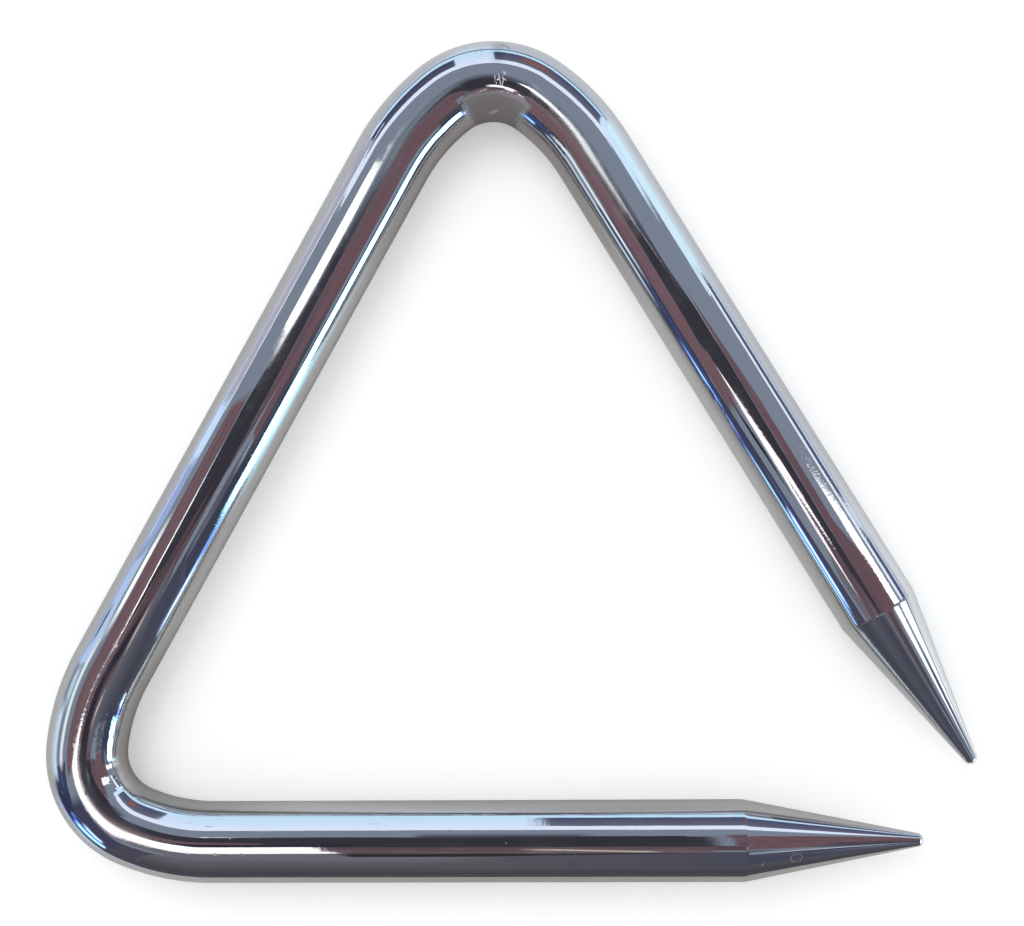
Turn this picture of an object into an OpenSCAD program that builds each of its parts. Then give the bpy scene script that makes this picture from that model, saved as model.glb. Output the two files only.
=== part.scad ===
// Steel triangle: one round bar, bent twice and left open at its third corner.
// It lies flat, with its base side along X, its closed side at the left and its
// open side at the right. Both ends are turned down to a slim cone with a small nose.
// The bar is drawn in lengths, divided wherever its curve or its thickness starts to
// change. Each length meets the next face to face on a plane square to the bar.

/* [Bar] */
// Diameter of the round bar
bar_d = 12; // [9:0.5:14]

/* [Sides] */
// Base side, from the lower corner of the centre lines to the end of its nose
base_len = 136.3; // [128:0.1:142]
// Closed side, from the lower corner of the centre lines to the top corner
side_len = 148.6; // [143:0.1:155]
// Open side, from the top corner of the centre lines to the end of its nose
open_len = 137.8; // [130:0.1:142]
// Angle inside the lower corner
low_angle = 60.6; // [58.5:0.1:63]
// Angle inside the top corner
top_angle = 60.4; // [58:0.1:62.5]

/* [Bends] */
// Centre line radius through the middle of a bend
bend_core_r = 11.8; // [9:0.1:16]
// Centre line radius where a bend eases into the straight bar
bend_ease_r = 31; // [20:1:40]
// Angle that each easing arc turns through
bend_ease_angle = 23; // [15:0.5:30]

/* [Tapered ends] */
// Length of the cone, from its crease to its small end
taper_len = 26; // [15:0.5:40]
// Diameter of the small end of the cone
tip_d = 1.9; // [1.8:0.1:4]
// Height of the domed nose on the small end
nose_h = 0.6; // [0.2:0.05:0.85]
// Radius that softens the crease between bar and cone
crease_r = 3; // [0.5:0.5:4]

/* [Hidden] */
$fn = 96;
chrome = [0.78, 0.80, 0.83];

bar_r = bar_d / 2;
tip_r = tip_d / 2;

// A tapered end, measured along the bar from the plane where the straight bar stops
cone_angle = atan((bar_r - tip_r) / taper_len);
crease_at = crease_r * tan(cone_angle / 2);
cone_end = crease_at + taper_len;
nose_r = (tip_r * tip_r + nose_h * nose_h) / (2 * nose_h);
nose_rim_angle = 2 * atan(nose_h / tip_r);
taper_reach = cone_end + nose_h;

// Turns a flat vector to the left
function turned_left(v, angle) =
    [v[0] * cos(angle) - v[1] * sin(angle), v[0] * sin(angle) + v[1] * cos(angle)];

// Place on the centre line of a left-hand bend, as [along, aside] from where it starts,
// once it has turned through an angle. It holds up to the start of the second easing arc.
function bend_place(turned) =
    turned < bend_ease_angle
        ? bend_ease_r * [sin(turned), 1 - cos(turned)]
        : bend_ease_r * [sin(bend_ease_angle), 1 - cos(bend_ease_angle)]
            + bend_core_r * [sin(turned) - sin(bend_ease_angle), cos(bend_ease_angle) - cos(turned)];

// Distance from the sharp corner of the centre lines to where a bend starts
function bend_reach(turn) =
    let (middle = bend_place(turn / 2))
    middle[0] + middle[1] * tan(turn / 2);

low_turn = 180 - low_angle;
top_turn = 180 - top_angle;
low_reach = bend_reach(low_turn);
top_reach = bend_reach(top_turn);

// Headings as the bar runs from the open end, over the top, to the base
open_heading = low_angle + top_angle;
side_heading = 180 + low_angle;

// Corners and ends of the centre lines, measured from the lower corner
top_corner = side_len * [cos(low_angle), sin(low_angle)];
open_nose_ball = top_corner - (open_len - nose_r) * [cos(open_heading), sin(open_heading)];
open_small_end = top_corner - (open_len - nose_h) * [cos(open_heading), sin(open_heading)];

// Outermost places, which set the origin midway between them
left_place = turned_left(bend_place(90 - low_angle) - [low_reach, 0], side_heading);
top_place = turned_left(bend_place(180 - open_heading) - [top_reach, 0], open_heading);
left_x = left_place[0] - bar_r;
top_y = top_corner[1] + top_place[1] + bar_r;
open_right_x = 180 - open_heading < nose_rim_angle
    ? open_nose_ball[0] + nose_r
    : open_small_end[0] + tip_r * sin(open_heading);
right_x = max(base_len, open_right_x);
middle_x = (left_x + right_x) / 2;
middle_y = (top_y - bar_r) / 2;

// Puts a corner of the centre lines in its place, with the bar resting on Z = 0
module at_corner(corner, heading) {
    translate([corner[0] - middle_x, corner[1] - middle_y, bar_r])
        rotate([0, 0, heading])
            children();
}

// Puts a bend where the straight bar before it stops
module at_lower_bend() {
    at_corner([0, 0], side_heading)
        translate([-low_reach, 0, 0])
            children();
}

module at_top_bend() {
    at_corner(top_corner, open_heading)
        translate([-top_reach, 0, 0])
            children();
}

// A straight length of bar along X
module straight_bar(length) {
    rotate([0, 90, 0])
        cylinder(r = bar_r, h = length);
}

// An arc of bar that starts along X and turns left
module bar_arc(arc_r, angle) {
    translate([0, arc_r, 0])
        rotate([0, 0, -90])
            rotate_extrude(angle = angle)
                translate([arc_r, 0])
                    circle(r = bar_r);
}

// Carries what follows to the end of such an arc
module after_arc(arc_r, angle) {
    translate([0, arc_r, 0])
        rotate([0, 0, angle])
            translate([0, -arc_r, 0])
                children();
}

// The first easing arc of a bend, which leaves the straight bar without a kink
module bend_entry() {
    bar_arc(bend_ease_r, bend_ease_angle);
}

// The tight arc through the middle of a bend
module bend_core(turn) {
    after_arc(bend_ease_r, bend_ease_angle)
        bar_arc(bend_core_r, turn - 2 * bend_ease_angle);
}

// The second easing arc of a bend, which runs out into the next straight bar
module bend_exit(turn) {
    after_arc(bend_ease_r, bend_ease_angle)
        after_arc(bend_core_r, turn - 2 * bend_ease_angle)
            bar_arc(bend_ease_r, bend_ease_angle);
}

// Half outline of a tapered end, with radius across and length upwards
module taper_outline() {
    crease_centre = [bar_r - crease_r, 0];
    crease_stop = crease_centre + crease_r * [cos(cone_angle), sin(cone_angle)];
    polygon([[0, 0], [bar_r, 0], crease_stop, [tip_r, cone_end], [0, cone_end]]);
    intersection() {
        translate(crease_centre)
            circle(r = crease_r);
        polygon([crease_centre, [bar_r, 0], [bar_r, crease_at], crease_stop]);
    }
    intersection() {
        translate([0, taper_reach - nose_r])
            circle(r = nose_r);
        translate([0, cone_end])
            square([tip_r, nose_h]);
    }
}

// A tapered end that starts at the straight bar and points along X
module tapered_end() {
    rotate([0, 90, 0])
        rotate_extrude()
            taper_outline();
}

module base_taper() {
    color(chrome)
        at_corner([0, 0], 0)
            translate([base_len - taper_reach, 0, 0])
                tapered_end();
}

module base_bar() {
    color(chrome)
        at_corner([0, 0], 0)
            translate([low_reach, 0, 0])
                straight_bar(base_len - taper_reach - low_reach);
}

module lower_bend_exit() {
    color(chrome)
        at_lower_bend()
            bend_exit(low_turn);
}

module lower_bend_core() {
    color(chrome)
        at_lower_bend()
            bend_core(low_turn);
}

module lower_bend_entry() {
    color(chrome)
        at_lower_bend()
            bend_entry();
}

module closed_leg() {
    color(chrome)
        at_corner([0, 0], low_angle)
            translate([low_reach, 0, 0])
                straight_bar(side_len - low_reach - top_reach);
}

module top_bend_exit() {
    color(chrome)
        at_top_bend()
            bend_exit(top_turn);
}

module top_bend_core() {
    color(chrome)
        at_top_bend()
            bend_core(top_turn);
}

module top_bend_entry() {
    color(chrome)
        at_top_bend()
            bend_entry();
}

module open_leg() {
    color(chrome)
        at_corner(top_corner, 180 + open_heading)
            translate([top_reach, 0, 0])
                straight_bar(open_len - taper_reach - top_reach);
}

module open_taper() {
    color(chrome)
        at_corner(top_corner, 180 + open_heading)
            translate([open_len - taper_reach, 0, 0])
                tapered_end();
}

base_taper();
base_bar();
lower_bend_exit();
lower_bend_core();
lower_bend_entry();
closed_leg();
top_bend_exit();
top_bend_core();
top_bend_entry();
open_leg();
open_taper();
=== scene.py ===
# Chromed triangle: one round bar, bent twice, with both ends turned down to a slim cone.
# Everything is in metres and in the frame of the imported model. Sizes of the bar are written
# in millimetres, as in the part's source.
import math

import bpy
import numpy as np
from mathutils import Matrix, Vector


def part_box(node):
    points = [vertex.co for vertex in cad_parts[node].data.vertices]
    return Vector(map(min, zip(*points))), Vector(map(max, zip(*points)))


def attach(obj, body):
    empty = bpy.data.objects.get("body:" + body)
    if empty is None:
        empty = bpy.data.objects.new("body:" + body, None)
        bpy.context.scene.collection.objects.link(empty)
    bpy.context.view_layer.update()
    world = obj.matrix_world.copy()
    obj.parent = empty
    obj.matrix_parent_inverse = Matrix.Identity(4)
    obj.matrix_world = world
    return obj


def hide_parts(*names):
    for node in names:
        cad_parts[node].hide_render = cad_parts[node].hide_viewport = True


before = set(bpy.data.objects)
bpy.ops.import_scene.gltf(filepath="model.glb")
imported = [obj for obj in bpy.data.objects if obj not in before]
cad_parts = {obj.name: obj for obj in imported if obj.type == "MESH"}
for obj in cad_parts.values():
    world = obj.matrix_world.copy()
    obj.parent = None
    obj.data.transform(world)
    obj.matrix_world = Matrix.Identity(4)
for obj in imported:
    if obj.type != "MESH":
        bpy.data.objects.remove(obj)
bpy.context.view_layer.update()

scene = bpy.context.scene
scene.view_settings.view_transform = "Standard"
mm = 0.001


# Shared helpers

# Display values from 0 to 255, turned into the linear values that shaders take
def linearColour(red, green, blue):
    shares = (red / 255, green / 255, blue / 255)
    return tuple(v / 12.92 if v <= 0.04045 else ((v + 0.055) / 1.055) ** 2.4 for v in shares)


# A mesh object in the scene, at the origin, from whole arrays of corners and faces
def newMesh(name, corners, faces):
    mesh = bpy.data.meshes.new(name)
    mesh.from_pydata(corners.tolist(), [], faces)
    mesh.update()
    made = bpy.data.objects.new(name, mesh)
    scene.collection.objects.link(made)
    return made


def newMaterial(name):
    material = bpy.data.materials.new(name)
    material.use_nodes = True
    material.node_tree.nodes.clear()
    return material


# A node with its properties from settings and its sockets from inputs, linked or set
def addNode(tree, kind, settings=None, **inputs):
    node = tree.nodes.new(kind)
    for key, value in (settings or {}).items():
        setattr(node, key, value)
    for key, value in inputs.items():
        connect(tree, node.inputs[socketNumber(node, key)], value)
    return node


# The number of a socket, found by its name in camelCase, or by its number as in0, in1
def socketNumber(node, key):
    if key[:2] == "in" and key[2:].isdigit():
        return int(key[2:])
    for socket in node.inputs:
        if socket.enabled and socket.name.replace(" ", "").lower() == key.lower():
            return list(node.inputs).index(socket)
    raise KeyError(f"{node.name} has no socket {key}")


def connect(tree, socket, value):
    if isinstance(value, bpy.types.NodeSocket):
        tree.links.new(value, socket)
    elif isinstance(value, bpy.types.Node):
        tree.links.new(value.outputs[0], socket)
    else:
        socket.default_value = value


def maths(tree, operation, first, second=None, third=None, clamp=False):
    node = tree.nodes.new("ShaderNodeMath")
    node.operation = operation
    node.use_clamp = clamp
    for socket, value in zip(node.inputs, (first, second, third)):
        if value is not None:
            connect(tree, socket, value)
    return node.outputs[0]


def inverse(tree, share):
    return maths(tree, "SUBTRACT", 1.0, share)


# The vector or the number that comes out of one step with vectors
def vectorMaths(tree, operation, first, second=None, scale=None):
    node = tree.nodes.new("ShaderNodeVectorMath")
    node.operation = operation
    connect(tree, node.inputs[0], first)
    if second is not None:
        connect(tree, node.inputs[1], second)
    if scale is not None:
        connect(tree, node.inputs["Scale"], scale)
    isNumber = operation in ("DOT_PRODUCT", "DISTANCE", "LENGTH")
    return node.outputs["Value" if isNumber else "Vector"]


# Distance from a place to the nearest point between start and finish
def distanceToLine(tree, place, start, finish):
    reach = vectorMaths(tree, "SUBTRACT", finish, start)
    away = vectorMaths(tree, "SUBTRACT", place, start)
    share = maths(tree, "DIVIDE", vectorMaths(tree, "DOT_PRODUCT", away, reach),
                  vectorMaths(tree, "DOT_PRODUCT", reach, reach), clamp=True)
    return vectorMaths(tree, "DISTANCE", away, vectorMaths(tree, "SCALE", reach, scale=share))


# A colour of three numbers gets its fourth, and a socket stays as it is
def opaque(colour):
    return (*colour, 1) if isinstance(colour, tuple) else colour


def mixColours(tree, share, first, second):
    return addNode(tree, "ShaderNodeMix", {"data_type": "RGBA"}, in0=share, in6=opaque(first),
                   in7=opaque(second)).outputs[2]


# Goes smoothly from 0 at low to 1 at high
def ramp(tree, value, low, high):
    return addNode(tree, "ShaderNodeMapRange", {"interpolation_type": "SMOOTHSTEP"},
                   value=value, fromMin=low, fromMax=high).outputs[0]


# Noise by the values of a dictionary: stretch multiplies the place, and limits turn the noise
# into patches from 0 to 1. Output 1 is the noise as a colour.
def noise(tree, place, values, output=0):
    if "stretch" in values:
        place = vectorMaths(tree, "MULTIPLY", place, values["stretch"])
    cloud = addNode(tree, "ShaderNodeTexNoise", vector=place, scale=values["scale"],
                    detail=values.get("detail", 2.0), roughness=values.get("roughness", 0.5))
    if "limits" in values:
        return ramp(tree, cloud.outputs[0], *values["limits"])
    return cloud.outputs[output]


# A value that wanders by a share of the reach to either side, as the noise goes up and down
def wander(tree, cloud, reach, value):
    return maths(tree, "MULTIPLY_ADD", maths(tree, "SUBTRACT", cloud, 0.5), reach, value)


# The bar's centre line

bar = {
    "radius": 6.0,
    "baseLength": 136.3,                 # from the lower corner of the centre lines to the nose
    "sideLength": 148.6,                 # closed side, between the corners of the centre lines
    "openLength": 137.8,                 # from the top corner of the centre lines to the nose
    "lowAngle": math.radians(60.6),
    "topAngle": math.radians(60.4),
    "coreRadius": 11.8,                  # of the tight middle of a bend
    "easeRadius": 31.0,                  # of the arc before and after it
    "easeAngle": math.radians(23),
    "coneLength": 26.0,
    "tipRadius": 0.95,
    "noseHeight": 0.6,
    "creaseRadius": 3.0,                 # of the blend between bar and cone
    "ringSpacing": 0.8,
    "fewestRings": 8,                    # in one length
    "creaseRings": 8,
    "coneRings": 32,
    "noseRings": 12,
    "around": 160,                       # points in each ring
}

coneAngle = math.atan((bar["radius"] - bar["tipRadius"]) / bar["coneLength"])
creaseReach = bar["creaseRadius"] * math.tan(coneAngle / 2)
coneEnd = creaseReach + bar["coneLength"]
taperReach = coneEnd + bar["noseHeight"]
noseRadius = (bar["tipRadius"] ** 2 + bar["noseHeight"] ** 2) / (2 * bar["noseHeight"])


# Distance from the sharp corner of the centre lines to where a bend starts: half the bend's
# length along the line that comes in, plus its height over that line times the tangent of
# half the turn
def bendReach(turn):
    ease, easeR, coreR = bar["easeAngle"], bar["easeRadius"], bar["coreRadius"]
    half = turn / 2
    along = easeR * math.sin(ease) + coreR * (math.sin(half) - math.sin(ease))
    aside = easeR * (1 - math.cos(ease)) + coreR * (math.cos(ease) - math.cos(half))
    return along + aside * math.tan(half)


lowTurn = math.pi - bar["lowAngle"]
topTurn = math.pi - bar["topAngle"]
lowReach = bendReach(lowTurn)
topReach = bendReach(topTurn)
lowCore = lowTurn - 2 * bar["easeAngle"]
topCore = topTurn - 2 * bar["easeAngle"]


def straight(node, reach, slot="chromed_bar", **more):
    return {"node": node, "slot": slot, "straight": reach, **more}


def arc(node, radius, angle):
    return {"node": node, "slot": "chromed_bar", "arc": radius, "angle": angle}


# From the open side's nose over the top to the base side's nose. Arcs turn to the left.
lengths = [
    straight("open_taper", taperReach, slot="chromed_taper", taper="start"),
    straight("open_leg", bar["openLength"] - taperReach - topReach),
    arc("top_bend_entry", bar["easeRadius"], bar["easeAngle"]),
    arc("top_bend_core", bar["coreRadius"], topCore),
    arc("top_bend_exit", bar["easeRadius"], bar["easeAngle"]),
    straight("closed_leg", bar["sideLength"] - lowReach - topReach),
    arc("lower_bend_entry", bar["easeRadius"], bar["easeAngle"]),
    arc("lower_bend_core", bar["coreRadius"], lowCore),
    arc("lower_bend_exit", bar["easeRadius"], bar["easeAngle"]),
    straight("base_bar", bar["baseLength"] - taperReach - lowReach),
    straight("base_taper", taperReach, slot="chromed_taper", taper="end"),
]

# The lower corner of the centre lines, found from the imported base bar, which starts at
# lowReach to the right of it
baseLow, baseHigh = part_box("base_bar")
cornerPlace = np.array([
    baseLow.x - lowReach * mm,
    (baseLow.y + baseHigh.y) / 2,
    (baseLow.z + baseHigh.z) / 2,
])

openHeading = bar["lowAngle"] + bar["topAngle"]
topCorner = bar["sideLength"] * np.array([math.cos(bar["lowAngle"]), math.sin(bar["lowAngle"])])
openNose = topCorner - bar["openLength"] * np.array([math.cos(openHeading), math.sin(openHeading)])


# Rings of a tapered end from the bar to its nose: along, radius, and the angle by which the
# surface's normal leans towards the nose, before and after each ring. The crease is an arc
# that turns to the cone's angle, the cone is a straight line, and the nose is an arc round a
# point on the axis.
def taperOutline():
    rings = [(0.0, bar["radius"], 0.0, 0.0)]
    for share in np.linspace(0, 1, bar["creaseRings"] + 1)[1:]:
        lean = coneAngle * share
        along = bar["creaseRadius"] * math.sin(lean)
        radius = bar["radius"] - bar["creaseRadius"] * (1 - math.cos(lean))
        rings.append((along, radius, lean, lean))
    creaseAlong, creaseWide = rings[-1][:2]
    for share in np.linspace(0, 1, bar["coneRings"] + 1)[1:]:
        along = creaseAlong + (coneEnd - creaseAlong) * share
        radius = creaseWide + (bar["tipRadius"] - creaseWide) * share
        rings.append((along, radius, coneAngle, coneAngle))
    rim = math.asin(bar["tipRadius"] / noseRadius)
    rings[-1] = (coneEnd, bar["tipRadius"], coneAngle, math.pi / 2 - rim)
    for share in np.linspace(0, 1, bar["noseRings"] + 1)[1:-1]:
        turned = rim * (1 - share)
        along = taperReach - noseRadius * (1 - math.cos(turned))
        rings.append((along, noseRadius * math.sin(turned), math.pi / 2 - turned,
                      math.pi / 2 - turned))
    return rings


# Rings of one length: distance along it, radius, lean before and after the ring
def lengthRings(length):
    if "taper" in length:
        rings = taperOutline()
        if length["taper"] == "start":
            # Seen from its nose, the cone widens, so every lean turns over
            rings = [(taperReach - a, r, -after, -before) for a, r, before, after in rings[::-1]]
        return np.array(rings)
    total = length["straight"] if "straight" in length else length["arc"] * length["angle"]
    count = max(bar["fewestRings"], round(total / bar["ringSpacing"]))
    along = np.linspace(0, total, count + 1)
    return np.stack([along, np.full_like(along, bar["radius"]), 0 * along, 0 * along], axis=1)


# Mesh arrays of one length. A point stands at the centre line, plus the radius times the
# cosine of the angle round the bar towards the triangle's inside, plus the radius times its
# sine upwards. Its normal is that direction, leant along the bar.
def sweep(length, start, heading, travelled):
    rings = lengthRings(length)
    along = rings[:, 0]
    if "arc" in length:
        turned = heading + along / length["arc"]
        middle = start[None, :] + length["arc"] * np.stack(
            [np.sin(turned) - math.sin(heading), math.cos(heading) - np.cos(turned)], axis=1)
    else:
        turned = np.full_like(along, heading)
        middle = start[None, :] + along[:, None] * np.array([math.cos(heading), math.sin(heading)])
    zero = 0 * along
    forward = np.stack([np.cos(turned), np.sin(turned), zero], axis=1)
    inward = np.stack([-np.sin(turned), np.cos(turned), zero], axis=1)
    upward = np.array([0.0, 0.0, 1.0])
    centre = np.stack([middle[:, 0], middle[:, 1], zero], axis=1)

    angles = np.linspace(0, 2 * math.pi, bar["around"], endpoint=False)
    across = (np.cos(angles)[None, :, None] * inward[:, None, :]
              + np.sin(angles)[None, :, None] * upward)
    radius = rings[:, 1][:, None, None]
    places = centre[:, None, :] + radius * across

    def leaning(lean):
        lean = lean[:, None, None]
        return np.cos(lean) * across + np.sin(lean) * forward[:, None, :]

    barPlace = np.empty_like(places)
    barPlace[..., 0] = travelled + along[:, None]
    barPlace[..., 1] = rings[:, 1][:, None] * np.cos(angles)
    barPlace[..., 2] = rings[:, 1][:, None] * np.sin(angles)
    return {
        "places": places, "centre": centre, "forward": forward, "barPlace": barPlace,
        "before": leaning(rings[:, 2]), "after": leaning(rings[:, 3]),
        "end": (middle[-1], turned[-1], travelled + along[-1]),
    }


# One length as a piece: quads between neighbouring rings, and a fan of triangles from the
# last ring on each side to the middle of a flat end or to the top of a nose
def buildLength(length, start, heading, travelled):
    swept = sweep(length, start, heading, travelled)
    ringCount, around = swept["places"].shape[:2]
    noseAtStart = length.get("taper") == "start"
    noseAtEnd = length.get("taper") == "end"

    # The two points that the fans meet in
    first, last = swept["centre"][0].copy(), swept["centre"][-1].copy()
    if noseAtStart:
        first = np.array([*start, 0.0])
    if noseAtEnd:
        last = np.array([*start, 0.0]) + taperReach * swept["forward"][0]
    corners = np.concatenate([swept["places"].reshape(-1, 3), [first, last]])
    corners = corners * mm + cornerPlace
    firstIndex, lastIndex = ringCount * around, ringCount * around + 1

    ring = np.arange(ringCount - 1)[:, None] * around
    here = np.arange(around)[None, :]
    there = (here + 1) % around
    quads = np.stack([ring + here, ring + there, ring + around + there, ring + around + here],
                     axis=-1).reshape(-1, 4)
    lastRing = (ringCount - 1) * around
    here, there = here[0], there[0]
    startFan = np.stack([np.full(around, firstIndex), there, here], axis=1)
    endFan = np.stack([np.full(around, lastIndex), lastRing + here, lastRing + there], axis=1)
    faces = [tuple(f) for part in (quads, startFan, endFan) for f in part.tolist()]

    made = newMesh(length["node"] + "_chrome", corners, faces)
    mesh = made.data
    mesh.shade_smooth()

    # Normals of every face corner, worked out from the shape rather than from the facets
    after, before = swept["after"][:-1], swept["before"][1:]
    turnedAfter, turnedBefore = np.roll(after, -1, axis=1), np.roll(before, -1, axis=1)
    quadNormals = np.stack([after, turnedAfter, turnedBefore, before], axis=2).reshape(-1, 3)
    backward, forward = -swept["forward"][0], swept["forward"][-1]
    startNormals = np.tile(backward, (around, 3, 1))
    endNormals = np.tile(forward, (around, 3, 1))
    if noseAtStart:
        edge = swept["before"][0]
        startNormals[:, 1], startNormals[:, 2] = np.roll(edge, -1, axis=0), edge
    if noseAtEnd:
        edge = swept["after"][-1]
        endNormals[:, 1], endNormals[:, 2] = edge, np.roll(edge, -1, axis=0)
    normals = np.concatenate([quadNormals, startNormals.reshape(-1, 3), endNormals.reshape(-1, 3)])
    mesh.normals_split_custom_set(normals.tolist())

    # Where each point lies on the bar, in millimetres: distance along the bar from the open
    # nose, distance towards the triangle's inside, height over the centre line
    barPlace = np.concatenate([
        swept["barPlace"].reshape(-1, 3),
        [[travelled, 0, 0], [swept["end"][2], 0, 0]],
    ])
    attribute = mesh.attributes.new("barPlace", "FLOAT_VECTOR", "POINT")
    attribute.data.foreach_set("vector", barPlace.astype(np.float32).ravel())

    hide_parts(length["node"])
    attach(made, "root")
    return made, swept["end"]


barPieces = {}
place, heading, travelled = openNose, openHeading, 0.0
for length in lengths:
    piece, (place, heading, travelled) = buildLength(length, place, heading, travelled)
    barPieces[length["node"]] = piece
    low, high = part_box(length["node"])
    own = np.empty(3 * len(piece.data.vertices), np.float32)
    piece.data.vertices.foreach_get("co", own)
    own = own.reshape(-1, 3)
    apart = np.abs([own.min(axis=0) - np.array(low), own.max(axis=0) - np.array(high)])
    length["apart"] = apart.max() / mm
print("bar built,", len(barPieces), "lengths,", round(travelled, 2), "mm of bar, boxes within",
      round(max(length["apart"] for length in lengths), 3), "mm of the packed ones")


# Chrome

chrome = {
    "colour": (0.78, 0.80, 0.83),
    "roughness": 0.035,
    "smudgeRoughness": 0.09,
    "smudges": {"scale": 0.14, "detail": 3.0, "roughness": 0.6, "limits": (0.48, 0.72)},
    "markColour": (0.86, 0.86, 0.88),
    "markRoughness": 0.5,
    "dirtColour": (0.10, 0.09, 0.08),
    # The worn patch inside the top bend is partly real wear, dull and rough, and partly painted
    # shade: its dark brown-grey stands in for the shade inside the bend
    "wornColour": (0.27, 0.245, 0.24),
    "wornMatt": 0.6,                     # share of the worn patch that isn't bare metal
    "wornRoughness": 0.42,
    "brushedRoughness": 0.13,
    "nicks": {"spacing": 3.4, "share": 0.10, "size": 0.16},
    "nickPaleness": 0.8,
    "nickDepth": 0.01,
}


# An empty node group with its input and output nodes
def newGroup(name, inputs, outputs):
    group = bpy.data.node_groups.new(name, "ShaderNodeTree")
    for label, kind in inputs.items():
        group.interface.new_socket(label, in_out="INPUT", socket_type=kind)
    for label, kind in outputs.items():
        group.interface.new_socket(label, in_out="OUTPUT", socket_type=kind)
    return group, group.nodes.new("NodeGroupInput"), group.nodes.new("NodeGroupOutput")


def useGroup(tree, group, **inputs):
    node = tree.nodes.new("ShaderNodeGroup")
    node.node_tree = group
    for key, value in inputs.items():
        connect(tree, node.inputs[socketNumber(node, key)], value)
    return node


# Where a point lies on the bar: distance along it, the share by which it faces the triangle's
# inside, its place as distances along the bar and round it from its inner side over the top,
# and its place in the bar made straight, all distances in millimetres
placeGroup, _, result = newGroup(
    "place on the bar", {},
    {"Along": "NodeSocketFloat", "Inward": "NodeSocketFloat", "Place": "NodeSocketVector",
     "Solid": "NodeSocketVector"})
tree = placeGroup
solid = addNode(tree, "ShaderNodeAttribute", {"attribute_name": "barPlace"}).outputs["Vector"]
axes = addNode(tree, "ShaderNodeSeparateXYZ", vector=solid)
angle = maths(tree, "ARCTAN2", axes.outputs["Z"], axes.outputs["Y"])
roundBar = maths(tree, "MULTIPLY", angle, bar["radius"])
connect(tree, result.inputs["Along"], axes.outputs["X"])
connect(tree, result.inputs["Inward"], maths(tree, "DIVIDE", axes.outputs["Y"], bar["radius"]))
connect(tree, result.inputs["Place"],
        addNode(tree, "ShaderNodeCombineXYZ", x=axes.outputs["X"], y=roundBar))
connect(tree, result.inputs["Solid"], solid)

# A straight stroke between two places on the bar, 1 along its middle and 0 from its width on
strokeGroup, given, result = newGroup(
    "stroke",
    {"Place": "NodeSocketVector", "Start": "NodeSocketVector", "Finish": "NodeSocketVector",
     "Width": "NodeSocketFloat"},
    {"Mask": "NodeSocketFloat"})
tree = strokeGroup
away = distanceToLine(tree, given.outputs["Place"], given.outputs["Start"],
                      given.outputs["Finish"])
connect(tree, result.inputs["Mask"], inverse(tree, ramp(tree, away, 0.0, given.outputs["Width"])))

# Fine waves left by drawing and polishing, for places and heights in millimetres
waves = {
    "broad": {"height": 0.011, "scale": 0.16, "detail": 1.0},
    "fine": {"height": 0.0026, "scale": 0.75},
    "grain": {"height": 0.0006, "scale": 3.2, "roughness": 0.6},
    "lines": {"height": 0.0015, "scale": 2.6, "detail": 3.0, "roughness": 0.7,
              "stretch": (0.03, 1.0, 1.0)},
    "rings": {"height": 0.0008, "scale": 7.0, "detail": 3.0, "roughness": 0.8,
              "stretch": (1.0, 0.0, 0.0)},
    "pits": {"height": -0.0035, "scale": 2.3, "roughness": 0.6, "limits": (0.5, 0.7)},
    "wrinkles": {"height": 0.05, "scale": 0.55, "stretch": (0.35, 1.0, 1.0)},
}
grainPatches = {"scale": 0.11, "limits": (0.46, 0.66), "least": 0.4, "more": 1.6}

waveGroup, given, result = newGroup(
    "waves", {"Lines": "NodeSocketFloat", "Rings": "NodeSocketFloat",
              "Pitted": "NodeSocketFloat", "Wrinkled": "NodeSocketFloat"},
    {"Height": "NodeSocketFloat"})
tree = waveGroup
solid = useGroup(tree, placeGroup).outputs["Solid"]
grainShare = maths(tree, "MULTIPLY_ADD", noise(tree, solid, grainPatches),
                   grainPatches["more"], grainPatches["least"])
shares = {"broad": 1.0, "fine": 1.0, "grain": grainShare, "lines": given.outputs["Lines"],
          "rings": given.outputs["Rings"], "pits": given.outputs["Pitted"],
          "wrinkles": given.outputs["Wrinkled"]}
height = 0.0
for kind, share in shares.items():
    step = maths(tree, "MULTIPLY", share, waves[kind]["height"])
    height = maths(tree, "MULTIPLY_ADD", noise(tree, solid, waves[kind]), step, height)
connect(tree, result.inputs["Height"], height)

# Small nicks: one in each of some cells, 1 in its middle
nickGroup, given, result = newGroup(
    "nicks", {"Spacing": "NodeSocketFloat", "Share": "NodeSocketFloat",
              "Size": "NodeSocketFloat"},
    {"Mask": "NodeSocketFloat"})
tree = nickGroup
here = useGroup(tree, placeGroup)
cells = addNode(tree, "ShaderNodeTexVoronoi", vector=here.outputs["Solid"],
                scale=maths(tree, "DIVIDE", 1.0, given.outputs["Spacing"]))
chosen = maths(tree, "LESS_THAN",
               addNode(tree, "ShaderNodeSeparateXYZ", vector=cells.outputs["Color"]).outputs[0],
               given.outputs["Share"])
apart = maths(tree, "MULTIPLY", cells.outputs["Distance"], given.outputs["Spacing"])
spot = inverse(tree, ramp(tree, apart, 0.0, given.outputs["Size"]))
connect(tree, result.inputs["Mask"], maths(tree, "MULTIPLY", spot, chosen))
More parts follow.
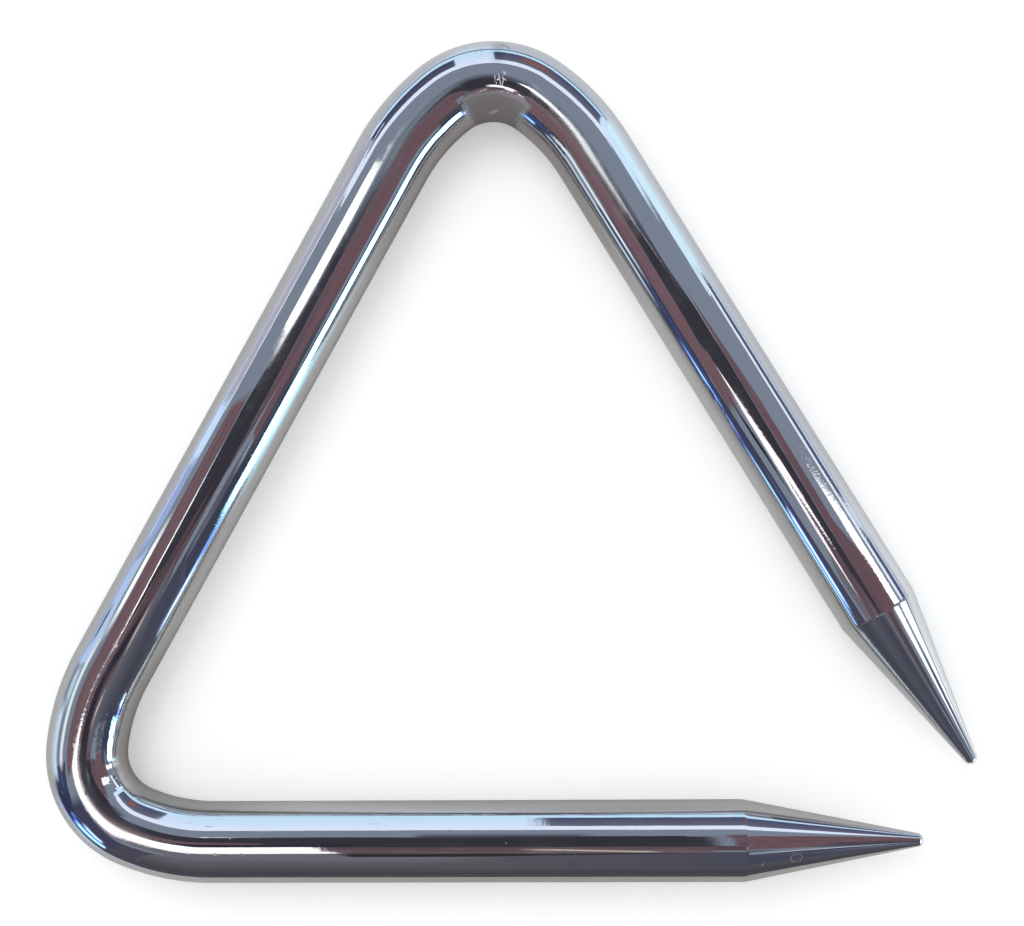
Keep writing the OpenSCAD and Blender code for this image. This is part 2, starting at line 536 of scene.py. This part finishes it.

# Strokes rubbed and scratched into the bar, and one painted highlight along the upper edge of the
# wear. Places are (along, round) in millimetres. Pale scratches scatter the light and dark ones
# hold dirt.
strokes = [
    {"name": "loop hairline 1", "start": (126.4, 8.0), "finish": (124.8, 9.4), "pale": 0.9},
    {"name": "loop hairline 2", "start": (126.6, 8.7), "finish": (126.1, 7.6), "pale": 0.7},
    {"name": "loop hairline 3", "start": (126.0, 8.9), "finish": (125.3, 7.5), "pale": 0.9},
    {"name": "loop hairline 4", "start": (125.4, 8.9), "finish": (124.7, 8.1), "pale": 0.6},
    {"name": "loop hairline 5", "start": (125.2, 9.5), "finish": (124.9, 6.9), "pale": 0.8},
    {"name": "loop hairline 6", "start": (126.0, 8.2), "finish": (124.9, 9.1), "pale": 0.7},
    # Painted highlight: a pale line along the upper edge of the worn patch
    {"name": "painted highlight on the edge of the wear", "start": (125.0, 6.5), "finish": (122.0, 6.4), "pale": 0.55},
    {"name": "blotch in the wear", "start": (127.4, 2.6), "finish": (125.6, 3.0), "pale": 0.35,
     "width": 0.6},
    {"name": "loop rub, outer rim", "start": (126.4, 14.6), "finish": (126.2, 11.4),
     "dark": 0.28, "width": 1.3},
    {"name": "scuff on the outer rim", "start": (125.9, 14.9), "finish": (125.2, 13.8),
     "dark": 0.6, "width": 0.3},
    {"name": "line across the rim 1", "start": (128.7, 13.6), "finish": (129.1, 11.0),
     "dark": 0.5},
    {"name": "line across the rim 2", "start": (128.2, 13.7), "finish": (128.5, 11.1),
     "dark": 0.4},
    {"name": "notch in the lower bend", "start": (254.1, 8.8), "finish": (254.6, 9.1),
     "dark": 0.7, "width": 0.3},
    {"name": "rub on the closed side", "start": (225.5, 9.4), "finish": (232.2, 9.3),
     "pale": 0.6},
    {"name": "spot on the closed side", "start": (231.0, 9.2), "finish": (231.8, 9.3),
     "pale": 0.6, "width": 0.3},
    {"name": "spot in the lower bend", "start": (246.8, 9.8), "finish": (247.4, 9.8),
     "pale": 0.7, "width": 0.25},
    {"name": "hook on the base cone", "start": (356.4, 11.4), "finish": (357.1, 11.7),
     "pale": 0.4},
    {"name": "end of the hook", "start": (357.1, 11.7), "finish": (357.0, 12.4), "pale": 0.4},
    {"name": "scratch on the base 1", "start": (299.5, 5.5), "finish": (306.5, 6.6),
     "dark": 0.3, "width": 0.08},
    {"name": "scratch on the base 2", "start": (298.0, 5.9), "finish": (301.0, 5.4),
     "dark": 0.3, "width": 0.08},
    {"name": "scratch on the base 3", "start": (270.5, 6.2), "finish": (273.5, 5.0),
     "dark": 0.3, "width": 0.08},
]
ring = {"at": (362.0, 11.7), "radius": 0.85, "width": 0.10, "pale": 0.25}

# Places that polishing left brushed, pitted or wrinkled, with their reach along and round the
# bar
roughPlaces = [
    {"name": "open side of the top bend", "at": (105, 7.6), "reach": (17, 2.0),
     "brushed": 1.0, "pitted": 0.25},
    {"name": "closed side of the top bend", "at": (150, 8.2), "reach": (22, 1.9),
     "brushed": 0.8, "pitted": 0.15},
    {"name": "closed side", "at": (176, 8.7), "reach": (22, 1.3), "brushed": 0.6},
    {"name": "inside of the closed side", "at": (197, 4.8), "reach": (15, 1.6),
     "brushed": 0.1, "pitted": 0.7},
    {"name": "above the lower bend", "at": (240, 9.7), "reach": (16, 1.6), "brushed": 0.1,
     "pitted": 0.8},
    {"name": "from the lower bend to the base", "at": (270, 10.2), "reach": (20, 1.2),
     "brushed": 0.15, "pitted": 1.0},
    {"name": "outside of the open side", "at": (40, 12.0), "reach": (24, 1.6),
     "brushed": 0.1, "pitted": 0.7},
    {"name": "open side", "at": (50, 7.7), "reach": (20, 1.0), "brushed": 0.15,
     "pitted": 0.6},
    {"name": "crown of the lower bend", "at": (258, 8.6), "reach": (14, 1.5),
     "brushed": 0.8},
    {"name": "inside of the lower bend", "at": (248, 3.5), "reach": (13, 3.6),
     "wrinkled": 1.0},
    {"name": "beside the loop", "at": (113, 3.5), "reach": (6, 2.4), "wrinkled": 0.6},
    {"name": "beside the loop, closed side", "at": (137, 4.2), "reach": (6, 2.6),
     "wrinkled": 0.4},
]

edges = {
    "strokeWidth": 0.13,                 # of a stroke that gives none
    "ripple": {"scale": 0.9, "detail": 1.0},
    "rippleReach": 0.7,                  # how far a stroke wavers, in millimetres
    "blur": {"scale": 0.5, "detail": 3.0},
    "blurReach": 0.8,                    # how far the edge of a rough place wanders, as a share
    "core": 0.45,                        # share of a rough place that is rough all over
}
markGroup, _, result = newGroup(
    "marks", {},
    {"Pale": "NodeSocketFloat", "Dark": "NodeSocketFloat", "Worn": "NodeSocketFloat",
     "Brushed": "NodeSocketFloat", "Pitted": "NodeSocketFloat",
     "Wrinkled": "NodeSocketFloat"})
tree = markGroup
here = useGroup(tree, placeGroup)
ripple = noise(tree, here.outputs["Place"], edges["ripple"], output=1)
ripple = vectorMaths(tree, "SUBTRACT", ripple, (0.5, 0.5, 0.5))
ripple = vectorMaths(tree, "SCALE", ripple, scale=edges["rippleReach"])
wavy = vectorMaths(tree, "ADD", here.outputs["Place"], ripple)
tones = {"pale": 0.0, "dark": 0.0}
for stroke in strokes:
    mask = useGroup(tree, strokeGroup, place=wavy, start=(*stroke["start"], 0.0),
                    finish=(*stroke["finish"], 0.0),
                    width=stroke.get("width", edges["strokeWidth"]))
    mask.label = stroke["name"]
    for tone in tones:
        if tone in stroke:
            share = maths(tree, "MULTIPLY", mask.outputs[0], stroke[tone])
            tones[tone] = maths(tree, "MAXIMUM", tones[tone], share)
fromRing = vectorMaths(tree, "DISTANCE", here.outputs["Place"], (*ring["at"], 0.0))
fromRing = maths(tree, "ABSOLUTE", maths(tree, "SUBTRACT", fromRing, ring["radius"]))
ringMask = inverse(tree, ramp(tree, fromRing, 0.0, ring["width"]))
tones["pale"] = maths(tree, "MAXIMUM", tones["pale"],
                      maths(tree, "MULTIPLY", ringMask, ring["pale"]))
connect(tree, result.inputs["Pale"], tones["pale"])
connect(tree, result.inputs["Dark"], tones["dark"])

blur = noise(tree, here.outputs["Solid"], edges["blur"])
rough = {"brushed": 0.0, "pitted": 0.0, "wrinkled": 0.0}
for spot in roughPlaces:
    apart = vectorMaths(tree, "SUBTRACT", here.outputs["Place"], (*spot["at"], 0.0))
    apart = vectorMaths(tree, "DIVIDE", apart, (*spot["reach"], 1.0))
    apart = wander(tree, blur, edges["blurReach"], vectorMaths(tree, "LENGTH", apart))
    mask = inverse(tree, ramp(tree, apart, edges["core"], 1.0))
    mask.node.label = spot["name"]
    for kind in rough:
        if kind in spot:
            share = maths(tree, "MULTIPLY", mask, spot[kind])
            rough[kind] = maths(tree, "MAXIMUM", rough[kind], share)
for kind, share in rough.items():
    connect(tree, result.inputs[kind.capitalize()], share)

# The loop of line has dulled the inside of the top bend, and the same patch is painted dark
# brown-grey as shade inside the bend
loopWearAndShade = {
    "along": 126.2, "halfWidth": 8.4, "softWidth": 2.4, "blurWidth": 3.0,
    "inward": 0.42, "softInward": 0.16, "blurInward": 0.12,
}
aside = maths(tree, "ABSOLUTE", maths(tree, "SUBTRACT", here.outputs["Along"], loopWearAndShade["along"]))
aside = wander(tree, blur, loopWearAndShade["blurWidth"], aside)
inside = wander(tree, blur, loopWearAndShade["blurInward"], here.outputs["Inward"])
nearLoop = inverse(tree, ramp(tree, aside, loopWearAndShade["halfWidth"] - loopWearAndShade["softWidth"],
                              loopWearAndShade["halfWidth"]))
facesIn = ramp(tree, inside, loopWearAndShade["inward"], loopWearAndShade["inward"] + loopWearAndShade["softInward"])
connect(tree, result.inputs["Worn"], maths(tree, "MULTIPLY", nearLoop, facesIn))


def chromeMaterial(name, lines, rings):
    material = newMaterial(name)
    tree = material.node_tree
    here = useGroup(tree, placeGroup)
    marks = useGroup(tree, markGroup)
    nicks = useGroup(tree, nickGroup, **chrome["nicks"]).outputs["Mask"]
    wave = useGroup(tree, waveGroup, lines=lines, rings=rings, pitted=marks.outputs["Pitted"],
                    wrinkled=marks.outputs["Wrinkled"])
    pale = maths(tree, "MAXIMUM", marks.outputs["Pale"],
                 maths(tree, "MULTIPLY", nicks, chrome["nickPaleness"]))
    wornAndShaded = marks.outputs["Worn"]

    roughness = maths(tree, "MULTIPLY_ADD", noise(tree, here.outputs["Solid"], chrome["smudges"]),
                      chrome["smudgeRoughness"] - chrome["roughness"], chrome["roughness"])
    for mark, more in ((wornAndShaded, chrome["wornRoughness"]), (pale, chrome["markRoughness"]),
                       (marks.outputs["Brushed"], chrome["brushedRoughness"])):
        roughness = maths(tree, "MULTIPLY_ADD", mark, more, roughness)

    # Painted shade: the worn patch inside the top bend is coloured dark
    colour = mixColours(tree, wornAndShaded, chrome["colour"], chrome["wornColour"])
    colour = mixColours(tree, marks.outputs["Dark"], colour, chrome["dirtColour"])
    colour = mixColours(tree, pale, colour, chrome["markColour"])
    metallic = inverse(tree, maths(tree, "MAXIMUM", pale,
                                   maths(tree, "MULTIPLY", wornAndShaded, chrome["wornMatt"])))
    height = maths(tree, "MULTIPLY_ADD", nicks, -chrome["nickDepth"], wave.outputs["Height"])
    bump = addNode(tree, "ShaderNodeBump", strength=1.0, distance=mm, height=height)
    shader = addNode(tree, "ShaderNodeBsdfPrincipled", baseColor=colour, metallic=metallic,
                     roughness=roughness, normal=bump)
    addNode(tree, "ShaderNodeOutputMaterial", surface=shader)
    return material


# Drawing left lines along the bar, and turning left rings round the cones
barChrome = chromeMaterial("chromed bar", lines=1.0, rings=0.0)
taperChrome = chromeMaterial("chromed taper", lines=0.3, rings=1.0)
for length in lengths:
    material = taperChrome if "taper" in length else barChrome
    barPieces[length["node"]].data.materials.append(material)
print("chrome made")


# Floor

floorSettings = {
    "reach": 3.0,
    "cameraColour": linearColour(243, 243, 243),
    "cameraLift": 0.3,
    # Painted shade: the floor near the bar, as the metal sees it
    "nearColour": linearColour(194, 190, 184),
    # Painted light: the floor further out, as the metal sees it
    "farColour": linearColour(226, 230, 235),
    "diagonal": 0.7,                     # share of X and Y by which a place is far
    "fadeStart": 0.0,
    "fadeLength": 0.09,
    "gloss": 0.30,
    "glossIor": 1.8,
    "spotCore": 0.28,                    # share of a spot that has its full colour
}

# Painted shade and light on the floor, in millimetres, that only the metal sees: darker spots of
# painted shade in and beside the bends and the base side, a corner of painted glare, and painted
# light outside the lower bend
paintedFloorSpots = [
    {"name": "inside of the base side", "at": (5, -40), "reach": 44, "colour": (180, 175, 166)},
    {"name": "outside of the base side", "at": (5, -84), "reach": 60, "colour": (182, 177, 169)},
    {"name": "corner of painted glare", "at": (105, -24), "reach": 60, "colour": (255, 255, 255)},
    {"name": "under the top bend", "at": (0, 40), "reach": 30, "colour": (172, 164, 158)},
    {"name": "in the lower bend", "at": (-55, -47), "reach": 26, "colour": (172, 167, 160)},
    {"name": "outside the lower bend", "at": (-100, -100), "reach": 60, "colour": (206, 210, 222)},
]


def seenInMetal(tree, light):
    return maths(tree, "MAXIMUM", light.outputs["Is Glossy Ray"],
                 light.outputs["Is Transmission Ray"])


# A large square, plain to the camera, and with the painted shade and light above to the metal
def buildFloor():
    wide = floorSettings["reach"]
    corners = np.array([[-wide, -wide, 0], [wide, -wide, 0], [wide, wide, 0], [-wide, wide, 0]])
    floor = newMesh("floor", corners, [(0, 1, 2, 3)])
    material = newMaterial("pale floor")
    tree = material.node_tree

    # What the metal shows of the floor is painted: shade near the bar, and painted light that gets
    # paler towards +X and +Y
    place = addNode(tree, "ShaderNodeTexCoord").outputs["Object"]
    axes = addNode(tree, "ShaderNodeSeparateXYZ", vector=place)
    across = maths(tree, "MULTIPLY", maths(tree, "ADD", axes.outputs["X"], axes.outputs["Y"]),
                   floorSettings["diagonal"])
    litShare = maths(tree, "DIVIDE", maths(tree, "SUBTRACT", across, floorSettings["fadeStart"]),
                  floorSettings["fadeLength"], clamp=True)
    shown = mixColours(tree, litShare, floorSettings["nearColour"], floorSettings["farColour"])
    # Each spot paints shade or light into what the metal sees of the floor
    for spot in paintedFloorSpots:
        away = vectorMaths(tree, "DISTANCE", place, (spot["at"][0] * mm, spot["at"][1] * mm, 0.0))
        reach = spot["reach"] * mm
        share = inverse(tree, ramp(tree, away, floorSettings["spotCore"] * reach, reach))
        shown = mixColours(tree, share, shown, linearColour(*spot["colour"]))
        shown.node.label = spot["name"]

    cameraColour = opaque(floorSettings["cameraColour"])
    light = addNode(tree, "ShaderNodeLightPath")
    forCamera = addNode(tree, "ShaderNodeBsdfDiffuse", color=cameraColour)
    lift = addNode(tree, "ShaderNodeEmission", color=cameraColour,
                   strength=maths(tree, "MULTIPLY", light.outputs["Is Camera Ray"],
                                  floorSettings["cameraLift"]))
    plain = addNode(tree, "ShaderNodeAddShader", in0=forCamera, in1=lift)
    forMetal = addNode(tree, "ShaderNodeBsdfDiffuse", color=shown)
    gloss = addNode(tree, "ShaderNodeBsdfGlossy", color=(1, 1, 1, 1),
                    roughness=floorSettings["gloss"])
    sheen = addNode(tree, "ShaderNodeFresnel", ior=floorSettings["glossIor"])
    glossy = addNode(tree, "ShaderNodeMixShader", in0=sheen, in1=forMetal, in2=gloss)
    both = addNode(tree, "ShaderNodeMixShader", in0=seenInMetal(tree, light), in1=plain,
                   in2=glossy)
    addNode(tree, "ShaderNodeOutputMaterial", surface=both)
    floor.data.materials.append(material)
    return floor


floor = buildFloor()


# Studio light: a white world, which metal sees as grey-blue, and one large soft lamp

studio = {
    "worldStrength": 0.75,
    "worldInMetal": linearColour(133, 142, 157),
    "lampPlace": (-0.35, 0.45, 0.9),
    "lampSize": 0.8,
    "lampPower": 3.0,
}

world = bpy.data.worlds.new("studio")
scene.world = world
world.use_nodes = True
tree = world.node_tree
tree.nodes.clear()
light = addNode(tree, "ShaderNodeLightPath")
white = (1, 1, 1, 1)
plain = addNode(tree, "ShaderNodeBackground", color=white, strength=studio["worldStrength"])
behind = addNode(tree, "ShaderNodeBackground", color=white, strength=1.0)
dim = addNode(tree, "ShaderNodeBackground", color=opaque(studio["worldInMetal"]), strength=1.0)
outside = addNode(tree, "ShaderNodeMixShader", in0=light.outputs["Is Camera Ray"], in1=plain,
                  in2=behind)
whole = addNode(tree, "ShaderNodeMixShader", in0=seenInMetal(tree, light), in1=outside, in2=dim)
addNode(tree, "ShaderNodeOutputWorld", surface=whole)

lampData = bpy.data.lights.new("soft lamp", "AREA")
lampData.shape = "DISK"
lampData.size = studio["lampSize"]
lampData.energy = studio["lampPower"]
lamp = bpy.data.objects.new("soft lamp", lampData)
scene.collection.objects.link(lamp)
lamp.location = studio["lampPlace"]
lamp.rotation_euler = (-Vector(studio["lampPlace"])).to_track_quat("-Z", "Y").to_euler()
lamp.visible_glossy = False
lamp.visible_camera = False


# Cards, which only the metal sees. Each stands between two places on the floor, from one
# height to another, or lies flat at a height, all in millimetres. Its colour is how the
# chrome shows it. Some fade into a second colour, upwards or from one end to the other. Soft
# is the width of its blurred edge.

def slanted(name, corner, across, up, colour, strength=1.25, soft=2.0, fadeTo=None, fade="up",
            mottle=0.0, streak=0.0):
    return {"name": name, "corner": corner, "across": across, "up": up, "colour": colour,
            "strength": strength, "soft": soft, "fadeTo": fadeTo, "fade": fade,
            "mottle": mottle, "streak": streak}


def upright(name, ends, heights, colour, strength=1.25, rise=0.0, **finish):
    (x0, y0), (x1, y1) = ends
    low, high = heights
    return slanted(name, (x0, y0, low), (x1 - x0, y1 - y0, rise), (0, 0, high - low), colour,
                   strength, **finish)


def flat(name, corners, height, colour, strength=1.25, **finish):
    (x0, y0), (x1, y1) = corners
    return slanted(name, (x0, y0, height), (x1 - x0, 0, 0), (0, y1 - y0, 0), colour, strength,
                   **finish)


cardFinish = {
    "mottle": {"scale": 45.0, "detail": 3.0, "roughness": 0.6},
    "mottleReach": 2.0,
    "streak": {"scale": 1.6, "detail": 4.0, "roughness": 0.65, "stretch": (1.0, 14.0, 0.0)},
    "streakReach": 3.0,
}
far = 1200                               # how far away the furthest cards stand
cards = [
    upright("field", ((-1600, far), (1180, far)), (60, 1400), (191, 222, 241), soft=20,
            fadeTo=(226, 231, 247)),
    upright("panel", ((-390, far - 10), (-40, far - 10)), (60, 1400), (189, 220, 241),
            fadeTo=(222, 229, 247)),
    upright("darkPanelRight", ((-20, far - 20), (1060, far - 20)), (240, 940), (66, 74, 108),
            soft=14, fadeTo=(104, 100, 112), mottle=0.5),
    upright("darkPanelGlow", ((240, far - 22), (560, far - 22)), (330, 700), (122, 88, 84),
            soft=120, mottle=0.6),
    upright("darkPanelLeft", ((-1470, far - 20), (-390, far - 20)), (300, 930),
            (62, 66, 92), soft=14, fadeTo=(80, 80, 98), mottle=0.4),
    upright("horizonLine", ((-1600, far - 50), (1100, far - 50)), (-10, 60), (48, 58, 96)),
    upright("rightField", ((far, 860), (far, 1250)), (-10, 720), (208, 235, 248)),
    upright("rightFieldHigh", ((far, 1050), (far, 1250)), (700, 1250), (204, 230, 248),
            soft=60),
    upright("rightPale", ((far, 380), (far, 880)), (330, 520), (230, 238, 246), soft=30),
    upright("rightPanel", ((far, 390), (far, 870)), (60, 330), (82, 90, 117), soft=16,
            streak=0.3),
    upright("rightPanelGap", ((far - 2, 520), (far - 2, 560)), (60, 330), (198, 208, 224),
            soft=16),
    upright("rightPanelFoot", ((far, 250), (far, 870)), (-20, 60), (208, 216, 238), 1.6),
    upright("whiteLow", ((far, -20), (far, 130)), (110, 555), (255, 255, 255), 1.8, soft=36),
    upright("whiteHigh", ((far, -255), (far, -60)), (700, 1190), (255, 255, 255), 1.8,
            soft=44),
    upright("whiteHighBack", ((far, 300), (far, 542)), (735, 1560), (255, 255, 255), 1.8,
            soft=44),
    flat("flag", ((-62, -48), (52, 40)), 245, (51, 49, 56), mottle=0.2),
    flat("flagFront", ((-2, -78), (52, -48)), 245, (51, 49, 56), mottle=0.2),
    flat("flagHigh", ((-172, -126), (60, -12)), 900, (51, 49, 56), soft=6, mottle=0.2),
    flat("flagLeft", ((-116, -50), (-46, 42)), 245.5, (51, 50, 59), mottle=0.2),
    flat("flagBack", ((-12, 36), (45, 50)), 245.5, (51, 50, 59)),
    flat("flagLow", ((-72, -66), (-38, -50)), 120, (42, 42, 52)),
    flat("flagMiddle", ((-125, -72), (-92, -50)), 246.5, (46, 45, 54)),
    flat("frontBrown", ((-2, -160), (52, -76)), 246, (108, 90, 96), fadeTo=(90, 74, 80),
         mottle=0.7),
    flat("frontBrownLeft", ((-62, -160), (-2, -80)), 246, (96, 78, 84), fadeTo=(88, 70, 76),
         mottle=0.7),
    flat("frontBrownHigh", ((-172, -330), (220, -120)), 901, (90, 73, 79),
         fadeTo=(78, 62, 68), soft=6, mottle=0.7),
    flat("flagCrest", ((-38, 38), (14, 96)), 245, (54, 53, 61), soft=5,
         fadeTo=(116, 124, 138)),
    slanted("frontGlow", (-2, -102, 245.6), (36, -32, 0), (0, -14, 0), (206, 196, 184), 1.15,
            soft=9),
    flat("frontDark", ((-62, -210), (60, -157)), 247, (44, 42, 46)),
    upright("leftBrown", ((-140, -72), (-140, 58)), (95, 290), (110, 86, 92), mottle=0.3,
            streak=0.55),
    upright("leftBrownNear", ((-75, -58), (-75, -36)), (70, 215), (110, 86, 92), mottle=0.3),
    upright("rightBrown", ((132, -108), (132, 15)), (100, 250), (104, 80, 86), mottle=0.4,
            streak=0.4),
    flat("rightBrownTop", ((57, -85), (132, 66)), 249, (96, 76, 84), fadeTo=(106, 82, 88),
         mottle=0.5),
    upright("slate", ((-160, -250), (215, -250)), (0, 300), (66, 64, 69),
            fadeTo=(108, 106, 114), mottle=0.15, streak=0.3),
    upright("slateMiddle", ((-230, -250), (60, -250)), (295, 480), (104, 102, 110),
            mottle=0.15, streak=0.3),
    upright("slateHigh", ((60, -252), (185, -252)), (296, 540), (86, 87, 95), mottle=0.15),
    upright("slateLeft", ((-437, -250), (-158, -250)), (0, 240), (58, 62, 84),
            fadeTo=(74, 71, 82), fade="across"),
    upright("navyNear", ((-90, -102), (-90, -64)), (26, 60), (64, 64, 84), soft=5),
    upright("navyLow", ((-90, -69), (-90, -58)), (6, 27), (50, 54, 80), soft=4),
    upright("westNavy", ((-437, -250), (-330, -100)), (0, 260), (60, 62, 82)),
    upright("slateNear", ((-20, -200), (103, -127)), (48, 240), (86, 84, 90),
            fadeTo=(64, 66, 83), fade="across", soft=30, mottle=0.15, streak=0.3),
    upright("slateInner", ((9.4, -210), (9.4, -86)), (30, 235), (63, 63, 73), soft=6,
            fadeTo=(100, 102, 112), mottle=0.15),
    upright("slateNearTop", ((103, -127), (125, -112)), (150, 240), (84, 84, 94), soft=14),
    upright("slateLowRight", ((131.5, -108), (131.5, -60)), (95, 150), (72, 70, 78), soft=14),
    flat("slateFlat", ((-600, -600), (600, -95)), 0.4, (73, 71, 77)),
    flat("blackEdge", ((-600, -96), (600, -92)), 0.5, (40, 38, 38)),
    upright("southNavy", ((180, -251), (320, -251)), (235, 318), (65, 66, 88), rise=50),
    upright("southWhite", ((205, -252), (340, -252)), (318, 345), (215, 222, 238), rise=60),
    upright("eastWhite", ((195, -172), (272, -61)), (0, 98), (176, 232, 255), 3.8, soft=14),
    upright("eastNavy", ((195, -172), (290, -35)), (97, 120), (44, 54, 92), soft=6),
    upright("eastDark", ((230, -240), (230, -135)), (74, 240), (58, 60, 73)),
    upright("eastBlueFront", ((181, -217), (196, -174)), (-8, 64), (118, 168, 250), 1.4,
            soft=14),
    upright("eastWhiteFront", ((179.5, -216), (187, -194)), (8, 52), (215, 240, 255), 2.0,
            soft=12),
    upright("westBlue", ((-225, -250), (-206, -172)), (46, 118), (60, 94, 210), 1.3,
            soft=12),
    upright("westBlueCore", ((-222, -243), (-204, -169)), (62, 100), (205, 236, 255), 1.8,
            soft=20),
    upright("westBlueLine", ((-215, -168), (-215, -86)), (75, 84), (64, 92, 170), soft=8),
    upright("westGlint", ((-215, -152), (-215, -116)), (30, 52), (130, 175, 255), 3.0,
            soft=16),
    upright("westWhite", ((-215, -90), (-215, -22)), (0, 42), (200, 218, 234), 1.2, soft=14),
    upright("westPale", ((-215, -22), (-215, 8)), (27, 66), (190, 214, 228), 1.1, soft=14),
    upright("westWhiteHigh", ((-215, -78), (-215, 20)), (80, 110), (226, 236, 240), 1.25,
            soft=16),
    upright("westWhiteBack", ((-215, 20), (-215, 50)), (112, 158), (244, 251, 250), 1.5,
            soft=14),
    upright("westCyanEdge", ((-213, -286), (-213, -150)), (-6, 50), (58, 90, 205), 1.3,
            soft=16),
    upright("westCyan", ((-212, -268), (-212, -162)), (4, 38), (165, 225, 255), 1.9, soft=16),
    upright("northWestPink", ((-far, 607), (-far, 1000)), (30, 560), (167, 167, 182),
            soft=20, mottle=0.1, streak=0.5),
    upright("northWestLine", ((5 - far, 590), (5 - far, 1300)), (565, 620), (232, 232, 240),
            1.5, soft=20),
    upright("northWestFoot", ((5 - far, 430), (5 - far, 1300)), (40, 80), (224, 224, 244),
            1.5, soft=20),
    upright("northWestPale", ((-far, 520), (-far, 607)), (30, 560), (196, 222, 248),
            soft=20, streak=0.2),
    upright("northWestViolet", ((-far, 428), (-far, 520)), (30, 560), (150, 166, 208),
            soft=24, streak=0.4),
    upright("northWestHaze", ((-far, 280), (-far, 428)), (30, 560), (176, 196, 228),
            soft=24, streak=0.4),
    upright("northWestDark", ((8 - far, 326), (8 - far, 360)), (110, 230), (58, 62, 84),
            soft=18, mottle=0.5),
    flat("overheadWhite", ((-820, -860), (-60, 125)), 1500, (230, 212, 214), 1.8, soft=90,
         fadeTo=(255, 255, 252)),
    slanted("overheadWhiteBack", (-73, 212, 900), (-337, 210, 0), (-43, -142, 0),
            (255, 255, 252), 1.8, soft=14),
]


# Glows in its own colours, and is clear beyond its blurred edges
def cardMaterial(card):
    material = newMaterial(card["name"])
    tree = material.node_tree
    place = addNode(tree, "ShaderNodeUVMap", {"uv_map": "cardPlace"}).outputs["UV"]
    axes = addNode(tree, "ShaderNodeSeparateXYZ", vector=place)
    masks = []
    for axis, side in (("X", "across"), ("Y", "up")):
        size = Vector(card[side]).length
        aside = maths(tree, "ABSOLUTE", maths(tree, "SUBTRACT", axes.outputs[axis], 0.5))
        inside = maths(tree, "SUBTRACT", 0.5, aside)
        masks.append(maths(tree, "MULTIPLY_ADD", inside, size / card["soft"], 0.5, clamp=True))
    mask = maths(tree, "MULTIPLY", *masks)

    colour = linearColour(*card["colour"])
    if card["fadeTo"]:
        share = axes.outputs["Y" if card["fade"] == "up" else "X"]
        colour = mixColours(tree, share, colour, linearColour(*card["fadeTo"]))
    strength = card["strength"]
    if card["mottle"]:
        cloud = noise(tree, addNode(tree, "ShaderNodeTexCoord").outputs["Object"],
                      cardFinish["mottle"])
        reach = cardFinish["mottleReach"] * card["mottle"] * strength
        strength = wander(tree, cloud, reach, strength)
    if card["streak"]:
        lines = noise(tree, place, cardFinish["streak"])
        lines = wander(tree, lines, cardFinish["streakReach"] * card["streak"], 1.0)
        strength = maths(tree, "MULTIPLY", strength, lines)
    glow = addNode(tree, "ShaderNodeEmission", color=opaque(colour), strength=strength)
    clear = addNode(tree, "ShaderNodeBsdfTransparent")
    both = addNode(tree, "ShaderNodeMixShader", in0=mask, in1=clear, in2=glow)
    addNode(tree, "ShaderNodeOutputMaterial", surface=both)
    return material


# A flat sheet: its corner, plus a share of its width, plus a share of its height. The shares
# go beyond 0 and 1 by half the blurred edge.
def buildCard(card):
    corner, across, up = (Vector(card[key]) * mm for key in ("corner", "across", "up"))
    grow = [card["soft"] * mm / side.length / 2 for side in (across, up)]
    shares = [(-grow[0], -grow[1]), (1 + grow[0], -grow[1]), (1 + grow[0], 1 + grow[1]),
              (-grow[0], 1 + grow[1])]
    corners = np.array([corner + across * a + up * b for a, b in shares])
    made = newMesh(card["name"], corners, [(0, 1, 2, 3)])
    layer = made.data.uv_layers.new(name="cardPlace")
    layer.data.foreach_set("uv", np.array(shares, np.float32).ravel())
    made.data.materials.append(cardMaterial(card))
    for kind in ("camera", "diffuse", "shadow", "transmission", "volume_scatter"):
        setattr(made, "visible_" + kind, False)


for card in cards:
    buildCard(card)
print("floor, light and", len(cards), "cards made")


# Camera

lens = {
    "place": (9.37, -8.84, 241.0),       # millimetres
    "aheadTilt": math.radians(1.947),
    "sideTilt": math.radians(2.033),
    "roll": math.radians(-0.647),
    "focal": 54.78,
    "sensor": 36,
    "nearest": 0.01,                     # metres
    "furthest": 20,
}

cameraData = bpy.data.cameras.new("camera")
cameraData.sensor_width = lens["sensor"]
cameraData.lens = lens["focal"]
cameraData.clip_start = lens["nearest"]
cameraData.clip_end = lens["furthest"]
camera = bpy.data.objects.new("camera", cameraData)
scene.collection.objects.link(camera)
camera.location = Vector(lens["place"]) * mm
camera.rotation_mode = "YXZ"
camera.rotation_euler = (lens["aheadTilt"], lens["sideTilt"], lens["roll"])
scene.camera = camera
